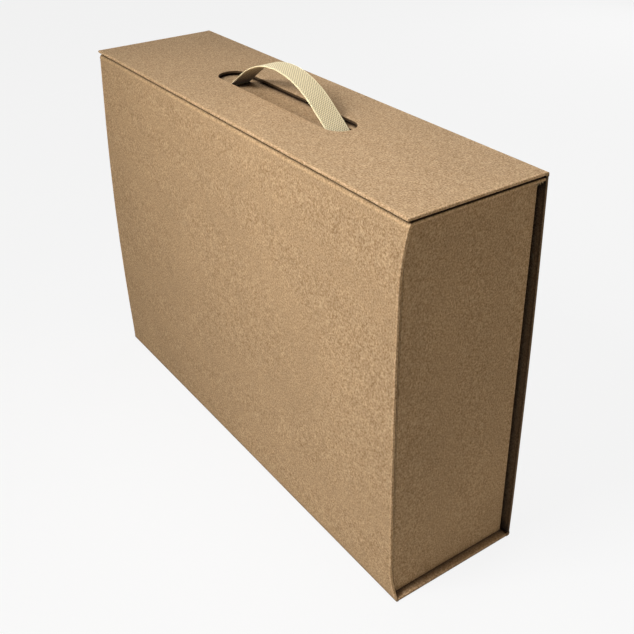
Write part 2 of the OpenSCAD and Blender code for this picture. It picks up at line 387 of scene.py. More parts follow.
@dataclass(frozen=True)
class CaseSizes:
    """The sizes that all sub-assemblies share."""

    # As in the solid model.
    width: float = 350 * MM
    depth: float = 93 * MM
    height: float = 250 * MM
    board: float = 1.8 * MM
    paper: float = 0.6 * MM
    reveal_left: float = 0.7 * MM
    reveal_right: float = 6.3 * MM
    overhang: float = 0.6 * MM
    fold_radius: float = 2.2 * MM
    hinge_gap: float = 0.4 * MM
    crease: float = 0.8 * MM
    flare_top: float = 40 * MM
    flare_bottom: float = 18 * MM
    flap_gap: float = 0.6 * MM
    seat_gap: float = 0.3 * MM
    lid_gap: float = 1.5 * MM
    handle_shift: float = 1.4 * MM
    # Only here: wrapped rims, and the small unevenness of a box glued by hand.
    rim: float = 0.6 * MM
    head_radius: float = 3.2 * MM
    fold_drop: float = 0.5 * MM
    flare_share: float = 0.8
    front_bow_left: float = 3.4 * MM
    front_bow_right: float = 1.3 * MM
    back_bow: float = 1.3 * MM
    calm_border: float = 30 * MM
    wall_sag: float = 0.8 * MM
    end_skew: float = 1.25 * MM
    end_lean: float = 2.4 * MM
    lean_at_foot: float = 0.55
    lean_curve: float = 1.5
    crease_depth: float = 0.12 * MM
    crease_valley: float = 0.08 * MM
    turn_inset: float = 1.2 * MM

    @property
    def half_width(self) -> float:
        """Half the width of the case."""
        return self.width / 2

    @property
    def whole_width(self) -> Pair:
        """The two ends of the case."""
        return (-self.half_width, self.half_width)

    @property
    def end_height(self) -> Pair:
        """Z of the two edges of an end wall."""
        return (self.board + self.seat_gap, self.wall_under - self.fold_drop - self.seat_gap)

    @property
    def front(self) -> float:
        """Y of the front face."""
        return -self.depth / 2 + self.overhang

    @property
    def back(self) -> float:
        """Y of the lid's outer face."""
        return self.depth / 2

    @property
    def wall_top(self) -> float:
        """Z of the top wall's upper face."""
        return self.height - self.board - self.flap_gap

    @property
    def wall_under(self) -> float:
        """Z of the top wall's lower face."""
        return self.wall_top - self.board

    @property
    def head(self) -> float:
        """Z at which the front panel starts to turn over into the top wall."""
        return self.wall_top - self.fold_drop - self.head_radius

    def tray_end(self, side: Side) -> float:
        """Distance of the tray's end from the middle of the box."""
        return self.half_width - (self.reveal_right if side is Side.RIGHT else self.reveal_left)

    def reveal(self, side: Side) -> float:
        """How far the case stands past the tray at one end."""
        return self.half_width - self.tray_end(side)

    def flare(self, z: Array) -> Array:
        """How far the front panel has widened at a height, from 0 at the tray's end to 1.

        Args:
            z: Heights.

        Returns:
            The share of the reveal that the front panel covers.
        """
        low = np.clip((self.fold_radius + self.flare_bottom - z) / self.flare_bottom, 0, 1)
        high = np.clip((z - self.head + self.flare_top) / self.flare_top, 0, 1)
        return low**2 + high**2

    @property
    def turn_lines(self) -> tuple[float, ...]:
        """Places along the box where a fold's paper needs points to turn in at its ends."""
        places = [self.half_width - inset for inset in (0.15 * MM, 0.7 * MM, self.turn_inset)]
        return tuple(side * place for side in (-1, 1) for place in places)

    def turned_in(self, x: Array, depth: Array) -> Array:
        """Grows the depth of a fold's paper to a board's thickness at its ends, which closes them."""
        share = fade(abs(x) - self.half_width + self.turn_inset, 0.5 * MM)
        return depth * (1 + share * (self.board / self.paper - 1))

    def skewed(self, x: Array, y: Array) -> Array:
        """Draws the right end in a little towards the front."""
        towards_front = np.clip((self.back - y) / self.depth, 0, 1)
        return x - self.end_skew * towards_front * np.clip(x / self.half_width, 0, 1) ** 2

    def front_bow(self, x: Array, z: Array) -> Array:
        """How far the front panel bellies out, more towards its left end.

        Args:
            x: Places along the box.
            z: Heights.

        Returns:
            Distances out of the front face.
        """
        share = np.clip((x + self.half_width) / self.width, 0, 1)
        most = self.front_bow_left + (self.front_bow_right - self.front_bow_left) * share
        s = np.clip((z - self.fold_radius) / (self.head - self.fold_radius), 0, 1)
        return most * 4 * s * (1 - s)


@dataclass(frozen=True)
class Rims:
    """Radius of the wrapped rim on each side of a board. A side at 0 is square."""

    start: float = 0.0
    end: float = 0.0
    low: float = 0.0
    high: float = 0.0

    @property
    def largest(self) -> float:
        """The largest of the four radii."""
        return max(self.start, self.end, self.low, self.high)


@dataclass(frozen=True)
class Cutout:
    """A hole through a board, between lattice lines along and across it."""

    along: Pair
    across: Pair
    lip: float


@dataclass(frozen=True)
class BoardPlan:
    """The flat plan of a board: its size, rims and holes, and the lattice that covers it."""

    along: Pair
    across: Pair
    thickness: float
    rims: Rims = Rims()
    step: float = 6 * MM
    holes: tuple[Cutout, ...] = ()
    lines_along: tuple[float, ...] = ()
    lines_across: tuple[float, ...] = ()


RIM_STEPS = 4
RIM_BANDS = (0.5 * MM, 1.4 * MM, 3.0 * MM)
RIM_FADE = 1.4 * MM
# A hole's cut wall and lip are paler: rubbed paper with a painted highlight.
CUT_RUB_AND_LIGHT = 0.3
# Where the cut shows bare board, in a colour darkened as painted shade.
CUT_BARE_AND_SHADE = 0.9
LIP_RUB_AND_LIGHT = 0.6


def lattice_lines(ends: Pair, rims: Pair, step: float, fixed: Sequence[float]) -> Array:
    """Spaces the lattice lines of a board along one direction.

    Args:
        ends: The two outer edges of the board.
        rims: The rim radius at each edge, which the lattice stops short of.
        step: The widest gap between two lines.
        fixed: Places that must have a line.

    Returns:
        The places of the lines in order.
    """
    low, high = ends[0] + rims[0], ends[1] - rims[1]
    marks = {low, high, *[f for f in fixed if low < f < high]}
    marks |= {low + inset for inset in RIM_BANDS if rims[0] > 0}
    marks |= {high - inset for inset in RIM_BANDS if rims[1] > 0}
    order = sorted(marks)
    lines = [order[0]]
    for a, b in zip(order, order[1:]):
        parts = max(1, math.ceil((b - a) / step))
        lines += [a + (b - a) * k / parts for k in range(1, parts + 1)]
    return np.array(lines)


def band(first: Sequence[int], second: Sequence[int]) -> list[tuple[int, ...]]:
    """Lists the faces of a band between two closed loops of points."""
    after = [(k + 1) % len(first) for k in range(len(first))]
    return [(first[k], first[n], second[n], second[k]) for k, n in enumerate(after)]


def ring(i0: int, i1: int, j0: int, j1: int) -> list[tuple[int, int]]:
    """Lists the lattice points round a rectangle, in order."""
    return (
        [(i0, j) for j in range(j0, j1)]
        + [(i, j1) for i in range(i0, i1)]
        + [(i1, j) for j in range(j1, j0, -1)]
        + [(i, j0) for i in range(i1, i0, -1)]
    )


class BoardMesh:
    """Builds the closed mesh of one wrapped board from its flat plan."""

    def __init__(self, plan: BoardPlan, place: Place, reshape: Callable | None = None) -> None:
        """Lays out the board.

        Args:
            plan: The board's flat plan.
            place: Turns places along, across and below the outer face into X, Y and Z.
            reshape: Moves lattice points within the plan, to round a hole.
        """
        self.plan = plan
        self.place = place
        fixed_along = [e for h in plan.holes for e in h.along] + list(plan.lines_along)
        fixed_across = [e for h in plan.holes for e in h.across] + list(plan.lines_across)
        rims = plan.rims
        self.u = lattice_lines(plan.along, (rims.start, rims.end), plan.step, fixed_along)
        self.v = lattice_lines(plan.across, (rims.low, rims.high), plan.step, fixed_across)
        grid_u, grid_v = np.meshgrid(self.u, self.v, indexing="ij")
        self.rim = self._rim_share(grid_u, grid_v)
        self.cut = np.zeros(grid_u.shape)
        if reshape is not None:
            grid_u, grid_v = reshape(grid_u, grid_v)
        self.grid_u = grid_u
        self.grid_v = grid_v
        self.points: list[Point] = []
        self.rims: list[float] = []
        self.cuts: list[float] = []
        self.faces: list[tuple[int, ...]] = []

    def _rim_share(self, grid_u: Array, grid_v: Array) -> Array:
        """How close each lattice point is to a wrapped rim, from 0 to 1."""
        rims = self.plan.rims
        distances = (
            (rims.start, grid_u - self.u[0]),
            (rims.end, self.u[-1] - grid_u),
            (rims.low, grid_v - self.v[0]),
            (rims.high, self.v[-1] - grid_v),
        )
        wrapped = [distance for radius, distance in distances if radius > 0]
        nearest = np.min([np.ones(grid_u.shape), *wrapped], axis=0)
        return np.clip(1 - nearest / RIM_FADE, 0, 1)

    def _add(self, u: float, v: float, depth: float, rim: float, cut: float = 0.0) -> int:
        """Adds one point of the plan and returns its number."""
        self.points.append((u, v, depth))
        self.rims.append(rim)
        self.cuts.append(cut)
        return len(self.points) - 1

    def _hole_ranges(self) -> list[tuple[int, ...]]:
        """Finds each hole's range of lattice lines."""
        found = []
        for hole in self.plan.holes:
            i0, i1 = (int(np.argmin(abs(self.u - e))) for e in hole.along)
            j0, j1 = (int(np.argmin(abs(self.v - e))) for e in hole.across)
            found.append((i0, i1, j0, j1))
        return found

    def _faces_of_sheet(self, numbers: Array, open_cells: Array) -> None:
        """Adds the faces of one side of the board, without the holes."""
        for i, j in np.argwhere(~open_cells):
            corners = (numbers[i, j], numbers[i + 1, j], numbers[i + 1, j + 1], numbers[i, j + 1])
            self.faces.append(tuple(int(c) for c in corners))

    def _rim_loops(self, outer: Array, inner: Array) -> None:
        """Closes the outer border of the board with its wrapped rim."""
        plan = self.plan
        last_i, last_j = len(self.u) - 1, len(self.v) - 1
        border = ring(0, last_i, 0, last_j)
        loop = [int(outer[i, j]) for i, j in border]
        radius = plan.rims.largest
        if radius > 0:
            half = [k * math.pi / 2 / RIM_STEPS for k in range(1, RIM_STEPS + 1)]
            stages = [(math.sin(a), radius * (1 - math.cos(a))) for a in half]
            stages += [(reach, plan.thickness - depth) for reach, depth in reversed(stages)]
            for reach, depth in stages:
                following = []
                for i, j in border:
                    du = (plan.rims.end if i == last_i else 0) - (plan.rims.start if i == 0 else 0)
                    dv = (plan.rims.high if j == last_j else 0) - (plan.rims.low if j == 0 else 0)
                    u, v = self.grid_u[i, j] + du * reach, self.grid_v[i, j] + dv * reach
                    following.append(self._add(u, v, depth, 1.0 if du or dv else 0.0))
                self.faces += band(loop, following)
                loop = following
        self.faces += band(loop, [int(inner[i, j]) for i, j in border])

    def _hole_walls(self, area: tuple[int, ...], lip: float, outer: Array, inner: Array) -> None:
        """Lines one hole with its cut wall and eases the paper's lip."""
        border = ring(*area)
        outline = np.array([(self.grid_u[i, j], self.grid_v[i, j]) for i, j in border])
        tangent = np.roll(outline, -1, axis=0) - np.roll(outline, 1, axis=0)
        normal = np.stack([tangent[:, 1], -tangent[:, 0]], axis=1)
        normal /= np.linalg.norm(normal, axis=1)[:, None]
        away = np.sum(normal * (outline - outline.mean(axis=0)), axis=1)
        normal *= np.sign(np.where(away == 0, 1, away))[:, None]
        thickness = self.plan.thickness
        upper = [self._add(u, v, lip, CUT_RUB_AND_LIGHT, CUT_BARE_AND_SHADE) for u, v in outline]
        lower = [self._add(u, v, thickness - lip, CUT_RUB_AND_LIGHT, CUT_BARE_AND_SHADE) for u, v in outline]
        for k, (i, j) in enumerate(border):
            for numbers, depth in ((outer, 0.0), (inner, thickness)):
                u, v = outline[k] + normal[k] * lip
                self.points[int(numbers[i, j])] = (u, v, depth)
                self.rims[int(numbers[i, j])] = LIP_RUB_AND_LIGHT
        top, bottom = ([int(numbers[i, j]) for i, j in border] for numbers in (outer, inner))
        self.faces += band(top, upper) + band(upper, lower) + band(lower, bottom)

    def build(self, name: str) -> bpy.types.Object:
        """Makes the board's object.

        Args:
            name: The object's name.

        Returns:
            The object, linked to the scene.
        """
        shape = self.grid_u.shape
        numbers = {}
        for layer, depth in (("outer", 0.0), ("inner", self.plan.thickness)):
            made = np.zeros(shape, int)
            for spot in np.ndindex(shape):
                rim, cut = float(self.rim[spot]), float(self.cut[spot])
                made[spot] = self._add(self.grid_u[spot], self.grid_v[spot], depth, rim, cut)
            numbers[layer] = made
        open_cells = np.zeros((shape[0] - 1, shape[1] - 1), bool)
        ranges = self._hole_ranges()
        for i0, i1, j0, j1 in ranges:
            open_cells[i0:i1, j0:j1] = True
        self._faces_of_sheet(numbers["outer"], open_cells)
        self._faces_of_sheet(numbers["inner"], open_cells)
        self._rim_loops(numbers["outer"], numbers["inner"])
        for hole, area in zip(self.plan.holes, ranges):
            self._hole_walls(area, hole.lip, numbers["outer"], numbers["inner"])
        solid = np.stack(self.place(*np.array(self.points).T), axis=1)
        return mesh_object(name, solid, self.faces, {"rim": self.rims, "cut": self.cuts})


SHARP_ANGLE = math.radians(38)


def add_object(name: str, data: bpy.types.ID) -> bpy.types.Object:
    """Makes an object of its data and links it to the scene."""
    made = bpy.data.objects.new(name, data)
    bpy.context.scene.collection.objects.link(made)
    return made


def mesh_object(
    name: str,
    points: Array,
    faces: Sequence[tuple[int, ...]],
    shares: Mapping[str, Sequence[float]] | None = None,
) -> bpy.types.Object:
    """Makes a closed mesh object, drops its loose points and turns its faces outward.

    Args:
        name: The object's name.
        points: The mesh's points.
        faces: Its faces, as point numbers.
        shares: Values per point that the materials read.

    Returns:
        The object, linked to the scene.
    """
    used = sorted({n for f in faces for n in f})
    renumber = {old: new for new, old in enumerate(used)}
    mesh = bpy.data.meshes.new(name)
    mesh.from_pydata(points[used].tolist(), [], [tuple(renumber[n] for n in f) for f in faces])
    for key, values in (shares or {}).items():
        layer = mesh.attributes.new(key, "FLOAT", "POINT")
        layer.data.foreach_set("value", np.array(values, np.float32)[used])
    work = bmesh.new()
    work.from_mesh(mesh)
    bmesh.ops.recalc_face_normals(work, faces=work.faces)
    for face in work.faces:
        face.smooth = True
    work.to_mesh(mesh)
    work.free()
    mesh.set_sharp_from_angle(angle=SHARP_ANGLE)
    return add_object(name, mesh)


class Ripple:
    """Slow unevenness of a glued board, as a sum of a few seeded waves."""

    def __init__(self, seed: int, height: float, lengths: Sequence[float]) -> None:
        """Draws the waves.

        Args:
            seed: Seed of the random directions and phases.
            height: The largest total height.
            lengths: Wave lengths in metres.
        """
        draw = np.random.default_rng(seed)
        self.height = height / len(lengths)
        turns = draw.uniform(0, math.pi, len(lengths))
        self.waves = [
            (2 * math.pi / n * math.cos(t), 2 * math.pi / n * math.sin(t), p)
            for n, t, p in zip(lengths, turns, draw.uniform(0, 2 * math.pi, len(lengths)))
        ]

    def at(self, a: Array, b: Array) -> Array:
        """Heights of the unevenness at places a and b along two directions."""
        return self.height * sum(np.sin(ka * a + kb * b + p) for ka, kb, p in self.waves)


def finish_piece(
    piece: bpy.types.Object,
    material: bpy.types.Material,
    replaced: Sequence[str] = (),
    body: str | None = None,
) -> bpy.types.Object:
    """Dresses a piece and puts it on its body.

    Args:
        piece: The piece.
        material: Its material.
        replaced: The solids that it stands for.
        body: The body that it rides on, if it doesn't bend across a joint.

    Returns:
        The same piece.
    """
    piece.data.materials.append(material)
    if replaced:
        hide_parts(*replaced)
    if body is not None:
        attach(piece, body)
    LOG.info("piece %s: %d faces on %s", piece.name, len(piece.data.polygons), body or "two bodies")
    return piece


def fade(distance: Array, length: float) -> Array:
    """Eases from 0 at a border to 1 at a length away from it."""
    s = np.clip(distance / length, 0, 1)
    return s * s * (3 - 2 * s)


def fade_between(place: Array, low: float, high: float, length: float) -> Array:
    """Eases from 0 at two borders to 1 between them."""
    return fade(place - low, length) * fade(high - place, length)


def fold_plan(sizes: CaseSizes, radius: float, tongue: float = 0.0) -> BoardPlan:
    """Plans a strip of paper that turns a quarter round a corner of the case.

    Args:
        sizes: The sizes of the case.
        radius: The outer radius of the turn.
        tongue: Length of the flat part on each side of the turn.

    Returns:
        The plan, with lines round the turn and where the paper turns in at its ends.
    """
    quarter = radius * math.pi / 2
    return BoardPlan(
        along=(-tongue, quarter + tongue),
        across=sizes.whole_width,
        thickness=sizes.paper,
        step=8 * MM,
        lines_along=tuple(quarter * k / 8 for k in range(9)),
        lines_across=sizes.turn_lines,
    )


@dataclass
class Tray:
    """The tray: front panel, spine, top wall and two end walls, with the folds between them."""

    sizes: CaseSizes
    finishes: Finishes
    web_width: float = 15 * MM
    slit_clear: float = 0.4 * MM
    slit: Pair = (52.8 * MM, 58.27 * MM)
    stretch: float = 60 * MM
    sag_reach: Pair = (35 * MM, 90 * MM)
    pull_reach: Pair = (8 * MM, 40 * MM)
    end_calm: float = 20 * MM
    thin_rim: float = 0.4 * MM
    fold_rub_and_light: float = 0.8
    ripple: Ripple = field(default_factory=lambda: Ripple(11, 0.16 * MM, (0.13, 0.21, 0.34)))

    def build(self) -> None:
        """Builds every piece of the tray."""
        self.front_panel()
        self.front_folds()
        self.spine()
        self.top_wall()
        for side in Side:
            self.end_wall(side)
            self.end_crease(side)

    def _widen(self, x: Array, z: Array) -> Array:
        """Moves the ends of the front panel out to its flared outline."""
        s = self.sizes
        flare = s.flare(z)
        right = np.clip((x - s.tray_end(Side.RIGHT) + self.stretch) / self.stretch, 0, None)
        left = np.clip((-x - s.tray_end(Side.LEFT) + self.stretch) / self.stretch, 0, None)
        spread = s.flare_share * s.reveal(Side.RIGHT) * right**2
        return x + flare * (spread - s.reveal(Side.LEFT) * left**2)

    def front_panel(self) -> None:
        """Builds the big front face with its flared outline and its belly."""
        s = self.sizes
        foot, head = s.fold_radius, s.head

        def place(z: Array, x: Array, depth: Array) -> Places:
            """Puts the plan on the bellied front face."""
            wide = self._widen(x, z)
            rough = self.ripple.at(x, z) * fade_between(z, foot, head, s.calm_border)
            y = s.front - s.front_bow(x, z) + rough + depth
            return wide, y, z

        plan = BoardPlan(
            along=(foot, head),
            across=(-s.tray_end(Side.LEFT), s.tray_end(Side.RIGHT)),
            thickness=s.board,
            rims=Rims(low=s.rim, high=s.rim),
            lines_along=(
                *(foot + s.flare_bottom * k / 8 for k in range(1, 9)),
                *(head - s.flare_top * k / 10 for k in range(1, 11)),
            ),
        )
        piece = BoardMesh(plan, place).build("front_panel")
        finish_piece(piece, self.finishes.wrap, ["base_panel"], "tray")

    def front_folds(self) -> None:
        """Builds the two soft folds of the front panel, at the spine and at the top wall."""
        s = self.sizes
        folds = (
            ("foot_fold", "base_spine_fold", s.fold_radius, s.fold_radius, -1),
            ("head_fold", "base_top_fold", s.head_radius, s.head, 1),
        )
        for name, node, radius, centre_z, up in folds:

            def place(arc: Array, x: Array, depth: Array) -> Places:
                """Rolls the plan round the front corner."""
                turn = arc / radius
                reach = radius - s.turned_in(x, depth)
                y = s.front + radius - reach * np.cos(turn)
                return s.skewed(x, y), y, centre_z + up * reach * np.sin(turn)

            mesh = BoardMesh(fold_plan(s, radius), place)
            # The turned paper is rubbed paler, with a painted highlight, most at the middle of the fold.
            mesh.rim = self.fold_rub_and_light * np.clip(np.sin(2 * mesh.grid_u / radius), 0, 1)
            finish_piece(mesh.build(name), self.finishes.crease, [node], "tray")

    def spine(self) -> None:
        """Builds the narrow panel that the box stands on."""
        s = self.sizes

        def place(y: Array, x: Array, depth: Array) -> Places:
            """Lays the plan on the ground, its outer face down."""
            return s.skewed(x, y), y, depth

        plan = BoardPlan(
            along=(s.front + s.fold_radius, s.back - s.fold_radius - s.hinge_gap),
            across=s.whole_width,
            thickness=s.board,
            rims=Rims(low=s.rim, high=s.rim),
        )
        piece = BoardMesh(plan, place).build("spine_board")
        finish_piece(piece, self.finishes.wrap, ["spine_panel"], "tray")

    def top_wall(self) -> None:
        """Builds the wall below the flap, with the two slits that take the webbing."""
        s = self.sizes
        half = self.web_width / 2 + self.slit_clear
        inner, outer = self.slit
        shift = s.handle_shift
        holes = tuple(
            Cutout(along=(-half, half), across=(shift + low, shift + high), lip=0.1 * MM)
            for low, high in ((-outer, -inner), (inner, outer))
        )
        front, back = s.front + s.head_radius, s.back - s.board - s.seat_gap

        def place(y: Array, x: Array, depth: Array) -> Places:
            """Lays the plan below the flap."""
            # The wall sags a little away from its fold and its ends.
            inward = s.half_width - abs(x)
            sag = s.wall_sag * fade(y - front, self.sag_reach[0]) * fade(inward, self.sag_reach[1])
            # Its fold and its two ends are pulled down, away from the flap.
            level = fade(y - front, self.pull_reach[0]) * fade(inward, self.pull_reach[1])
            pulled = s.fold_drop * (1 - level)
            return s.skewed(x, y), y, s.wall_top - sag - pulled - depth

        plan = BoardPlan(
            along=(front, back),
            across=s.whole_width,
            thickness=s.board,
            rims=Rims(end=s.rim, low=s.rim, high=s.rim),
            holes=holes,
        )
        piece = BoardMesh(plan, place).build("top_wall_board")
        finish_piece(piece, self.finishes.wrap, ["top_wall"], "tray")

    def end_wall(self, side: Side) -> None:
        """Builds one end wall. Its front edge follows the belly of the front panel."""
        s = self.sizes
        sign = side.value
        end = s.tray_end(side)
        front = s.front + s.board + s.crease
        back = s.back - s.board - s.lid_gap

        def place(y: Array, z: Array, depth: Array) -> Places:
            """Stands the plan up at one end of the tray."""
            share = np.clip((back - y) / (back - front), 0, 1)
            bow = s.front_bow(np.full_like(z, sign * end), z) * share
            rough = self.ripple.at(y, z) * fade_between(y, front, back, self.end_calm)
            # The right end wall leans out towards its loose edge at the back, most at the top.
            lean = 0.0
            if side is Side.RIGHT:
                tall = np.clip(z / s.height, 0, 1)
                most = s.end_lean * (s.lean_at_foot + (1 - s.lean_at_foot) * tall)
                lean = most * (1 - share) ** s.lean_curve
            return sign * (end - depth + rough + lean), y - bow, z

        plan = BoardPlan(
            along=(front, back),
            across=s.end_height,
            thickness=s.board,
            rims=Rims(end=s.rim, low=self.thin_rim, high=self.thin_rim),
        )
        word = side.name.lower()
        piece = BoardMesh(plan, place).build(f"end_wall_board_{word}")
        finish_piece(piece, self.finishes.wrap, [f"end_wall_{word}"], "tray")

    def end_crease(self, side: Side) -> None:
        """Builds the paper crease between the front panel's edge and an end wall."""
        s = self.sizes
        sign = side.value
        end = s.tray_end(side) - s.crease_depth
        start = s.front + s.board

        def place(y: Array, z: Array, depth: Array) -> Places:
            """Stands the plan up beside the front panel."""
            bow = s.front_bow(np.full_like(z, sign * end), z)
            # The crease sinks a little between its two edges.
            valley = s.crease_valley * np.sin(np.clip((y - start) / s.crease, 0, 1) * math.pi)
            return sign * (end - depth - valley), y - bow, z

        plan = BoardPlan(
            along=(start, start + s.crease),
            across=s.end_height,
            thickness=s.paper,
            lines_along=tuple(start + s.crease * k / 4 for k in range(1, 4)),
        )
        word = side.name.lower()
        piece = BoardMesh(plan, place).build(f"end_crease_{word}")
        finish_piece(piece, self.finishes.crease, [f"end_fold_{word}"], "tray")


@dataclass
class Lid:
    """The back panel and the paper hinge that joins it to the spine."""

    sizes: CaseSizes
    finishes: Finishes
    ripple: Ripple = field(default_factory=lambda: Ripple(23, 0.2 * MM, (0.12, 0.2, 0.33)))

    def build(self) -> None:
        """Builds the lid's board and its paper hinge."""
        s = self.sizes
        foot = s.fold_radius + s.hinge_gap
        head = s.height - foot

        def place(z: Array, x: Array, depth: Array) -> Places:
            """Puts the plan on the lid's outer face."""
            share = np.clip((z - foot) / (head - foot), 0, 1)
            rough = self.ripple.at(x, z) * fade_between(z, foot, head, s.calm_border)
            y = s.back + s.back_bow * 4 * share * (1 - share) + rough - depth
            return x, y, z

        plan = BoardPlan(
            along=(foot, head),
            across=s.whole_width,
            thickness=s.board,
            rims=Rims(low=s.rim, high=s.rim),
        )
        piece = BoardMesh(plan, place).build("lid_board")
        finish_piece(piece, self.finishes.lid_wrap, ["lid_panel"], "lid")
        hinge = PaperHinge(s, self.finishes)
        strip = hinge.build("lid_hinge_paper", "lid_fold", centre_z=s.fold_radius, up=-1)
        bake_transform(strip)


@dataclass
class PaperHinge:
    """A bare strip of the wrap round a corner that opens, creased tighter than a round."""

    sizes: CaseSizes
    finishes: Finishes
    tightness: float = 0.5
    rub_and_edge_light: float = 0.7
    bare_and_shade: float = 0.8

    def build(self, name: str, node: str, centre_z: float, up: int) -> bpy.types.Object:
        """Builds one strip at its closed shape.

        Args:
            name: The piece's name.
            node: The solid that it stands for.
            centre_z: Height of the middle of its turn.
            up: 1 where the corner points up, -1 where it points down.

        Returns:
            The strip, not yet on any body.
        """
        s = self.sizes
        radius = s.fold_radius
        quarter = radius * math.pi / 2

        def place(arc: Array, x: Array, depth: Array) -> Places:
            """Rolls the plan round the corner, with its flat tongues."""
            turn = np.clip(arc / radius, 0, math.pi / 2)
            before = np.minimum(arc, 0)
            after = np.maximum(arc - quarter, 0)
            reach = radius - s.turned_in(x, depth)
            out = np.clip(np.sin(turn), 0, 1) ** self.tightness
            rise = np.clip(np.cos(turn), 0, 1) ** self.tightness
            y = s.back - radius + reach * out + before
            z = centre_z + up * (reach * rise - after)
            return x, y, z

        mesh = BoardMesh(fold_plan(s, radius, s.hinge_gap), place)
        # The strip is paler at the middle of its turn: rubbed paper with a painted highlight.
        share = np.clip(mesh.grid_u / quarter, 0, 1)
        mesh.rim = self.rub_and_edge_light * np.sin(share * math.pi)
        # The paper's cut ends show on the side of the upright board, in the board colour darkened as
        # painted shade.
        at_end = abs(mesh.grid_v) > s.half_width - 0.01 * MM
        mesh.cut = np.where(at_end, self.bare_and_shade * np.clip(2 * share - 1, 0, 1), 0.0)
        return finish_piece(mesh.build(name), self.finishes.crease, [node])


@dataclass
class Flap:
    """The closing flap with the handle slot, and the paper hinge that joins it to the lid."""

    sizes: CaseSizes
    finishes: Finishes
    slot_radius: float = 10.3 * MM
    slot_half: float = 69.77 * MM
    slot_middle: Pair = (-3.4 * MM, 1.5 * MM)
    ease: float = 30 * MM

    def build(self) -> None:
        """Builds the flap's board and its paper hinge."""
        s = self.sizes
        self.board()
        hinge = PaperHinge(s, self.finishes)
        strip = hinge.build("flap_hinge_paper", "flap_fold", centre_z=s.height - s.fold_radius, up=1)
        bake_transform(strip)

    def board(self) -> None:
        """Builds the flap's board, with the long slot that clears the handle."""
        s = self.sizes
        radius = self.slot_radius
        straight = self.slot_half - radius
        middle_x, middle_y = self.slot_middle
        turns = [math.radians(a) for a in range(-90, 91, 15)]
        eased = [straight + self.ease * k / 5 for k in range(1, 6)]

        def reshape(y: Array, x: Array) -> tuple[Array, Array]:
            """Draws the slot's square ends out to half circles."""
            away = x - middle_x
            bulge = np.sqrt(np.clip(radius**2 - (y - middle_y) ** 2, 0, None))
            share = np.clip(1 - (abs(away) - straight) / self.ease, 0, 1)
            beyond = abs(away) >= straight - 1e-9
            return y, x + np.where(beyond, np.sign(away) * bulge * share, 0)

        def place(y: Array, x: Array, depth: Array) -> Places:
            """Lays the plan on top of the case."""
            return s.skewed(x, y), y, s.height - depth

        slot_y = (middle_y - radius, middle_y + radius)
        slot_x = (middle_x - straight, middle_x + straight)
        plan = BoardPlan(
            along=(-s.depth / 2, s.back - s.fold_radius - s.hinge_gap),
            across=s.whole_width,
            thickness=s.board,
            rims=Rims(start=s.rim, low=s.rim, high=s.rim),
            holes=(Cutout(slot_y, slot_x, lip=0.25 * MM),),
            lines_along=tuple(middle_y + radius * math.sin(t) for t in turns),
            lines_across=tuple(middle_x + side * reach for side in (-1, 1) for reach in eased),
        )
        piece = BoardMesh(plan, place, reshape).build("flap_board")
        finish_piece(piece, self.finishes.wrap, ["flap_panel"], "flap")


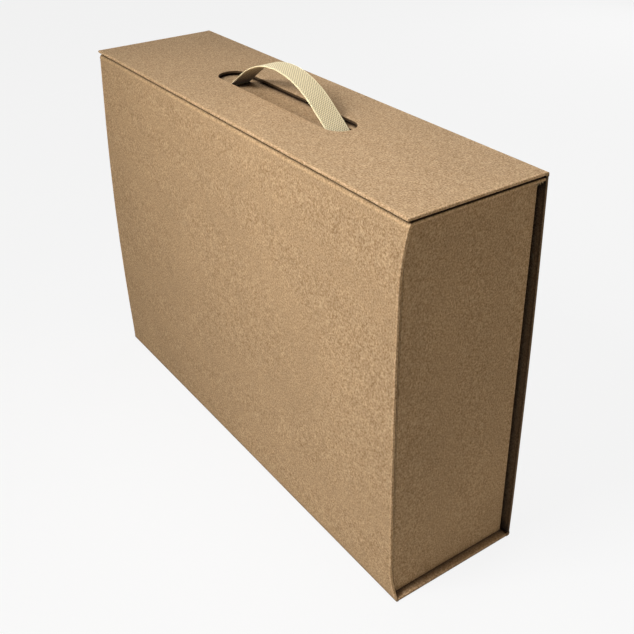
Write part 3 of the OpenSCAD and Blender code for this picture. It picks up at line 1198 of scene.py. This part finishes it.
@dataclass
class Handle:
    """The woven handle: a crest arc, two straight flanks, a bend and a glued tail at each end."""

    sizes: CaseSizes
    finishes: Finishes
    width: float = 15 * MM
    thick: float = 1.0 * MM
    rise: float = 21.6 * MM
    half_span: float = 51.6 * MM
    angle: float = math.radians(36)
    bend_radius: float = 2 * MM
    tail: float = 30 * MM
    pitch_along: float = 2.0 * MM
    pitch_across: float = 1.67 * MM
    plumpness: float = 1.6
    cord: float = 0.8 * MM
    cord_pitch: float = 0.9 * MM
    plain_edge: float = 0.3 * MM
    relief: float = 0.16 * MM
    step: float = 0.36 * MM
    columns: int = 43

    def path(self) -> tuple[Array, Array, Array]:
        """Finds the middle line of the right half of the handle, from its crest outward.

        Returns:
            Distances along the line, points as (x, z) and slopes.
        """
        s = self.sizes
        a = self.angle
        reach = self.half_span * math.tan(a) - self.rise
        radius = reach / (math.tan(a) * math.sin(a) - (1 - math.cos(a))) - self.thick / 2
        crest = s.height + self.rise - self.thick / 2
        floor = s.wall_under - self.thick / 2
        bend = self.bend_radius
        flank = (radius * math.sin(a), crest - radius * (1 - math.cos(a)))
        bend_z = floor + bend * (1 - math.cos(a))
        bend_x = flank[0] + (flank[1] - bend_z) / math.tan(a)
        tail_x = bend_x + bend * math.sin(a)
        arc = radius * a
        run = math.hypot(bend_x - flank[0], flank[1] - bend_z)
        ends = np.cumsum([arc, run, bend * a, self.tail])
        along = np.arange(0, ends[-1], self.step)
        # Four stretches in turn: the crest's arc, the straight flank, the bend and the flat tail.
        stretch = np.searchsorted(ends[:3], along, side="right")
        done = along - np.concatenate([[0], ends[:3]])[stretch]
        crown = done / radius
        curl = a - done / bend
        x = (
            radius * np.sin(crown),
            flank[0] + done * math.cos(a),
            tail_x - bend * np.sin(curl),
            tail_x + done,
        )
        z = (
            crest - radius * (1 - np.cos(crown)),
            flank[1] - done * math.sin(a),
            floor + bend * (1 - np.cos(curl)),
            np.full_like(done, floor),
        )
        slope = (-crown, np.full_like(done, -a), -curl, np.zeros_like(done))
        points = np.stack([np.choose(stretch, x), np.choose(stretch, z)], axis=1)
        return along, points, np.choose(stretch, slope)

    def weave(self, along: Array, across: Array) -> Array:
        """Height of the diamond twill, from 0 in a gap to 1 on a yarn.

        The real yarns are about 0.5 mm apart. They are drawn coarser, so that they show.

        Args:
            along: Places along the webbing.
            across: Places across it, from its middle.

        Returns:
            The share of the relief at each place.
        """
        a = 2 * math.pi * along / self.pitch_along
        b = 2 * math.pi * across / self.pitch_across
        plump = self.plumpness
        return 0.5 + 0.5 * np.tanh(plump * np.cos(a) * np.cos(b)) / math.tanh(plump)

    def surface(self, along: Array, across: Array) -> tuple[Array, Array]:
        """Finds the weave and the surface of the webbing, with a plain cord along each selvedge.

        Args:
            along: Places along the webbing.
            across: Places across it, from its middle.

        Returns:
            The weave from 0 to 1, and the distance of the surface from the middle line.
        """
        weave = self.weave(along, across)
        inset = self.width / 2 - abs(across)
        cord = 0.75 + 0.25 * np.cos(2 * math.pi * along / self.cord_pitch)
        weave = np.where(inset < self.cord, cord, weave)
        # The edge is round, and the relief runs out before it.
        roundness = np.clip(1 - inset / (self.thick / 2), 0, 1)
        edge = np.sqrt(np.clip(1 - roundness**2, 0.02, 1))
        relief = self.relief * (weave - 1) * np.clip(inset / self.plain_edge, 0, 1)
        return weave, self.thick / 2 * edge + relief

    def build(self) -> None:
        """Builds the webbing."""
        along, points, slopes = self.path()
        along = np.concatenate([-along[:0:-1], along])
        points = np.concatenate([points[:0:-1] * (-1, 1), points])
        slopes = np.concatenate([-slopes[:0:-1], slopes])
        across = np.linspace(-1, 1, self.columns) * self.width / 2
        grid_s, grid_y = np.meshgrid(along, across, indexing="ij")
        weave, reach = self.surface(grid_s, grid_y)
        layers = []
        for sign in (1, -1):
            x = points[:, 0][:, None] - sign * reach * np.sin(slopes)[:, None] + self.sizes.handle_shift
            z = points[:, 1][:, None] + sign * reach * np.cos(slopes)[:, None]
            layers.append(np.stack([x, grid_y, z], axis=2).reshape(-1, 3))
        rows, columns = grid_s.shape
        faces = []
        for base in (0, grid_s.size):
            corners = [base + i * columns + j for i, j in np.ndindex(rows - 1, columns - 1)]
            faces += [(c, c + 1, c + columns + 1, c + columns) for c in corners]
        border = [i * columns + j for i, j in ring(0, rows - 1, 0, columns - 1)]
        faces += band(border, [number + grid_s.size for number in border])
        shares = {"weave": np.tile(weave.ravel(), 2)}
        piece = mesh_object("handle_webbing", np.concatenate(layers), faces, shares)
        finish_piece(piece, self.finishes.webbing, ["webbing_handle"], "tray")


@dataclass
class HiddenParts:
    """The tabs, tapes, patches and magnets. Their solids stay, with their own finishes."""

    finishes: Finishes

    def build(self) -> None:
        """Dresses the solids that stay."""
        choices = {
            "tab_": self.finishes.card,
            "tab_tapes": self.finishes.tape,
            "handle_patch": self.finishes.card,
            "flap_magnet": self.finishes.nickel,
            "wall_magnet": self.finishes.nickel,
        }
        for name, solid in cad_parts.items():
            fitting = [key for key in choices if name.startswith(key)]
            if not fitting:
                continue
            material = choices[max(fitting, key=len)]
            solid.data.materials.clear()
            solid.data.materials.append(material)
            LOG.info("solid %s dressed in %s", name, material.name)


@dataclass
class TornEdge:
    """Frayed paper at the back of the top wall's right end, where the photo shows it torn."""

    sizes: CaseSizes
    finishes: Finishes
    count: int = 7
    span: Pair = (39.2 * MM, 44.2 * MM)
    length: Pair = (0.9 * MM, 2.2 * MM)
    width: Pair = (0.35 * MM, 0.6 * MM)
    inset: Pair = (0.3 * MM, 1.2 * MM)
    lean: float = 0.3
    taper: float = 0.8
    overlap: float = 0.3 * MM

    def build(self) -> None:
        """Builds the tuft of torn fibres."""
        s = self.sizes
        draw = np.random.default_rng(7)
        points: list[Point] = []
        faces: list[tuple[int, ...]] = []
        for k in range(self.count):
            y = self.span[0] + (self.span[1] - self.span[0]) * (k + draw.uniform(0, 0.8)) / self.count
            length = draw.uniform(*self.length)
            width = draw.uniform(*self.width)
            lean = draw.uniform(-self.lean, self.lean)
            x = s.half_width - draw.uniform(*self.inset)
            base = len(points)
            for t in (0.0, 0.5, 1.0):
                taper = width * (1 - self.taper * t)
                drop = s.wall_under - s.fold_drop + self.overlap - length * t
                drift = y + lean * length * t
                for dy, dx in ((-0.5, 0.0), (0.5, 0.0), (0.5, -0.35), (-0.5, -0.35)):
                    points.append((x + dx * width, drift + dy * taper, drop))
            root, middle, tip = (tuple(range(base + n, base + n + 4)) for n in (0, 4, 8))
            faces += [*band(root, middle), *band(middle, tip), root, tip]
        piece = mesh_object("torn_paper_edge", np.array(points), faces)
        finish_piece(piece, self.finishes.torn, body="tray")


@dataclass(frozen=True)
class Lamp:
    """One square studio lamp. Its spread in degrees narrows the light towards its aim."""

    name: str
    place: Point
    aim: Point
    size: float
    spread: float
    power: float
    tint: str = "ffffff"


@dataclass
class Studio:
    """The floor, the lamps and the camera at the photo's place."""

    finishes: Finishes
    focal_pixels: float = 924.7
    centre_pixel: Pair = (332.5, 247.0)
    sensor: float = 36.0
    eye: Point = (0.4615, -0.2976, 0.4366)
    right: Point = (0.5889354, 0.8081522, -0.0067093)
    down: Point = (0.3738622, -0.2797908, -0.8842760)
    ahead: Point = (-0.7165069, 0.5182732, -0.4669163)
    floor_half: float = 6.0
    sky: float = 0.02
    backdrop: float = 0.91
    lamps: tuple[Lamp, ...] = (
        Lamp("key_light", (0.0, -0.65, 0.8), (0.16, -0.04, 0.16), 0.3, 60, 0.95),
        Lamp("front_light", (-0.35, -0.85, 0.6), (0.1, 0.0, 0.12), 0.4, 180, 3.3, "fff7e8"),
        Lamp("top_light", (0.0, 0.05, 1.3), (0.0, 0.0, 0.25), 0.6, 180, 3.7, "f6f9ff"),
        Lamp("end_light", (1.3, 0.55, 0.3), (0.17, 0.0, 0.12), 0.6, 180, 4.4, "fff3df"),
        Lamp("back_light", (-0.5, 1.3, 0.5), (0.0, 0.0, 0.12), 0.6, 180, 4.0),
    )

    def build(self) -> None:
        """Builds the whole studio."""
        self.camera()
        self.floor()
        self.world()
        for lamp in self.lamps:
            self.lamp(lamp)

    def camera(self) -> None:
        """Sets the camera as solved from the box's own corners in the photo."""
        data = bpy.data.cameras.new("photo_camera")
        data.sensor_width = self.sensor
        data.lens = self.focal_pixels / PHOTO_PIXELS * self.sensor
        data.shift_x = (PHOTO_PIXELS / 2 - self.centre_pixel[0]) / PHOTO_PIXELS
        data.shift_y = (self.centre_pixel[1] - PHOTO_PIXELS / 2) / PHOTO_PIXELS
        data.clip_start = 0.01
        camera = add_object("photo_camera", data)
        axes = Matrix((self.right, [-c for c in self.down], [-c for c in self.ahead])).transposed()
        camera.matrix_world = Matrix.Translation(self.eye) @ axes.to_4x4()
        bpy.context.scene.camera = camera

    def floor(self) -> None:
        """Lays the pale floor."""
        half = self.floor_half
        corners = [(-half, -half, 0), (half, -half, 0), (half, half, 0), (-half, half, 0)]
        mesh = bpy.data.meshes.new("studio_floor")
        mesh.from_pydata(corners, [], [(0, 1, 2, 3)])
        mesh.materials.append(self.finishes.floor)
        add_object("studio_floor", mesh)

    def world(self) -> None:
        """Lights the scene faintly and shows nearly white behind it."""
        world = bpy.data.worlds.new("studio_world")
        bpy.context.scene.world = world
        world.use_nodes = True
        tree = world.node_tree
        tree.nodes.clear()
        ends = {"To Min": self.sky, "To Max": self.backdrop}
        strength = add_node(tree, "MapRange", {"Value": seen_share(tree), **ends}).outputs["Result"]
        sky = add_node(tree, "Background", {"Color": WHITE, "Strength": strength})
        add_node(tree, "OutputWorld", {"Surface": sky.outputs["Background"]})

    def lamp(self, lamp: Lamp) -> None:
        """Hangs one soft square lamp and turns it to its aim."""
        data = bpy.data.lights.new(lamp.name, "AREA")
        data.size = lamp.size
        data.energy = lamp.power
        data.color = linear(lamp.tint)[:3]
        data.spread = math.radians(lamp.spread)
        hung = add_object(lamp.name, data)
        hung.location = lamp.place
        towards = Vector(lamp.aim) - Vector(lamp.place)
        hung.rotation_mode = "QUATERNION"
        hung.rotation_quaternion = towards.to_track_quat("-Z", "Y")


def main() -> None:
    """Builds the box and its studio in order."""
    logging.basicConfig(level=logging.INFO, format="%(name)s: %(message)s")
    bpy.context.scene.view_settings.view_transform = "Standard"
    sizes = CaseSizes()
    finishes = Finishes()
    Studio(finishes).build()
    Tray(sizes, finishes).build()
    Lid(sizes, finishes).build()
    Flap(sizes, finishes).build()
    Handle(sizes, finishes).build()
    HiddenParts(finishes).build()
    TornEdge(sizes, finishes).build()


if __name__ == "__main__":
    main()
